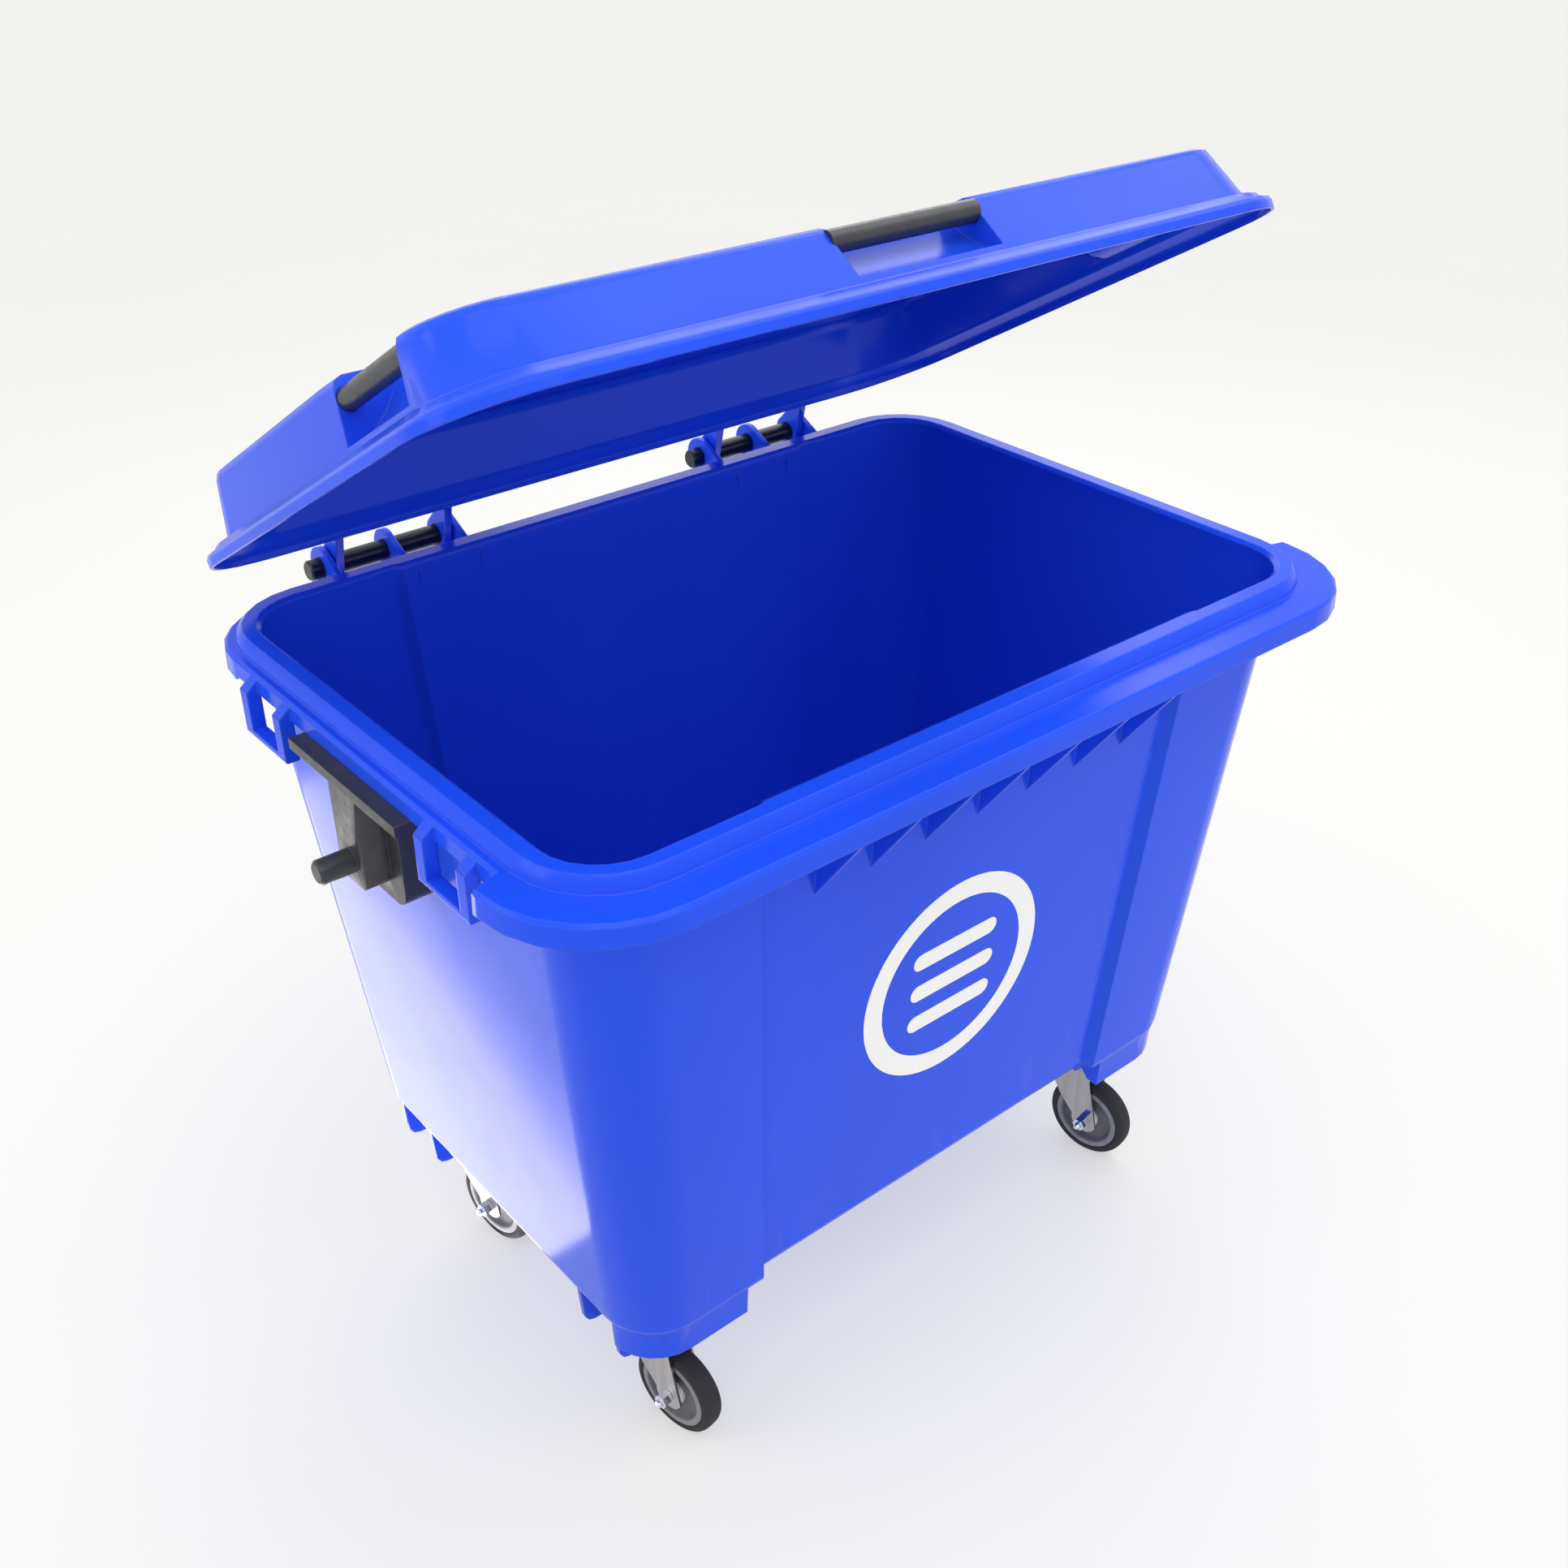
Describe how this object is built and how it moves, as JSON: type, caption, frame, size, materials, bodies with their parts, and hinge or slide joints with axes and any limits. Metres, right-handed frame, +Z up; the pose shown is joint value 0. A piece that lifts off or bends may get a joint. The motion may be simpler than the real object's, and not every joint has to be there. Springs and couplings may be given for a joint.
{
  "type": "wheeled waste container",
  "caption": "Large plastic waste container on swivel castors, with a rolled rim, a hinged hollow lid with grab bars, and a lifting trunnion on each end.",
  "frame": {"origin": "middle of the overall footprint, on the ground", "axes": "+Z up, +X along the long side, -Y towards the front, which is the side away from the lid hinges; rest pose has the lid open by 30 degrees"},
  "size_m": [1.433, 1.004, 1.6159],
  "materials": {
    "blue_plastic": "glossy moulded polyethylene",
    "grey_bar": "satin",
    "pin_steel": "satin black",
    "dark_casting": "satin dark grey",
    "fork_steel": "zinc plated",
    "bright_steel": "bright plated",
    "wheel_plastic": "satin grey",
    "tyre_rubber": "smooth"
  },
  "bodies": {
    "tub": {"tub": "blue_plastic", "hinge_pin_left": "pin_steel", "hinge_pin_right": "pin_steel", "trunnion_left": "dark_casting", "trunnion_right": "dark_casting", "castor_plate_front_left": "fork_steel", "castor_plate_front_right": "fork_steel", "castor_plate_back_left": "fork_steel", "castor_plate_back_right": "fork_steel", "plate_bolt_front_left_1": "bright_steel", "plate_bolt_front_left_2": "bright_steel", "plate_bolt_front_left_3": "bright_steel", "plate_bolt_front_left_4": "bright_steel", "plate_bolt_front_right_1": "bright_steel", "plate_bolt_front_right_2": "bright_steel", "plate_bolt_front_right_3": "bright_steel", "plate_bolt_front_right_4": "bright_steel", "plate_bolt_back_left_1": "bright_steel", "plate_bolt_back_left_2": "bright_steel", "plate_bolt_back_left_3": "bright_steel", "plate_bolt_back_left_4": "bright_steel", "plate_bolt_back_right_1": "bright_steel", "plate_bolt_back_right_2": "bright_steel", "plate_bolt_back_right_3": "bright_steel", "plate_bolt_back_right_4": "bright_steel"},
    "lid": {"lid": "blue_plastic", "lid_grab_bar_front": "grey_bar", "lid_grab_bar_left": "grey_bar", "lid_grab_bar_right": "grey_bar"},
    "castor_front_left": {"fork_front_left": "fork_steel", "kingpin_front_left": "fork_steel", "hub_bush_front_left": "bright_steel", "axle_bolt_front_left": "bright_steel", "axle_nut_front_left": "bright_steel"},
    "wheel_front_left": {"wheel_rim_front_left": "wheel_plastic", "tyre_front_left": "tyre_rubber"},
    "castor_front_right": {"fork_front_right": "fork_steel", "kingpin_front_right": "fork_steel", "hub_bush_front_right": "bright_steel", "axle_bolt_front_right": "bright_steel", "axle_nut_front_right": "bright_steel"},
    "wheel_front_right": {"wheel_rim_front_right": "wheel_plastic", "tyre_front_right": "tyre_rubber"},
    "castor_back_left": {"fork_back_left": "fork_steel", "kingpin_back_left": "fork_steel", "hub_bush_back_left": "bright_steel", "axle_bolt_back_left": "bright_steel", "axle_nut_back_left": "bright_steel"},
    "wheel_back_left": {"wheel_rim_back_left": "wheel_plastic", "tyre_back_left": "tyre_rubber"},
    "castor_back_right": {"fork_back_right": "fork_steel", "kingpin_back_right": "fork_steel", "hub_bush_back_right": "bright_steel", "axle_bolt_back_right": "bright_steel", "axle_nut_back_right": "bright_steel"},
    "wheel_back_right": {"wheel_rim_back_right": "wheel_plastic", "tyre_back_right": "tyre_rubber"}
  },
  "joints": [
    {"name": "lid_hinge", "type": "hinge", "parent": "tub", "child": "lid", "pos_m": [0, 0.4725, 1.0711], "axis": [-1, 0, 0], "range_deg": [-30.6, 213]},
    {"name": "swivel_front_left", "type": "hinge", "parent": "tub", "child": "castor_front_left", "pos_m": [-0.437, -0.2555, 0.21], "axis": [0, 0, 1], "continuous": true},
    {"name": "spin_front_left", "type": "hinge", "parent": "castor_front_left", "child": "wheel_front_left", "pos_m": [-0.42974, -0.2989, 0.0711], "axis": [0.9863, 0.165, 0], "continuous": true},
    {"name": "swivel_front_right", "type": "hinge", "parent": "tub", "child": "castor_front_right", "pos_m": [0.437, -0.2555, 0.21], "axis": [0, 0, 1], "continuous": true},
    {"name": "spin_front_right", "type": "hinge", "parent": "castor_front_right", "child": "wheel_front_right", "pos_m": [0.44426, -0.2989, 0.0711], "axis": [0.9863, 0.165, 0], "continuous": true},
    {"name": "swivel_back_left", "type": "hinge", "parent": "tub", "child": "castor_back_left", "pos_m": [-0.437, 0.2205, 0.21], "axis": [0, 0, 1], "continuous": true},
    {"name": "spin_back_left", "type": "hinge", "parent": "castor_back_left", "child": "wheel_back_left", "pos_m": [-0.42974, 0.1771, 0.0711], "axis": [0.9863, 0.165, 0], "continuous": true},
    {"name": "swivel_back_right", "type": "hinge", "parent": "tub", "child": "castor_back_right", "pos_m": [0.437, 0.2205, 0.21], "axis": [0, 0, 1], "continuous": true},
    {"name": "spin_back_right", "type": "hinge", "parent": "castor_back_right", "child": "wheel_back_right", "pos_m": [0.44426, 0.1771, 0.0711], "axis": [0.9863, 0.165, 0], "continuous": true}
  ]
}
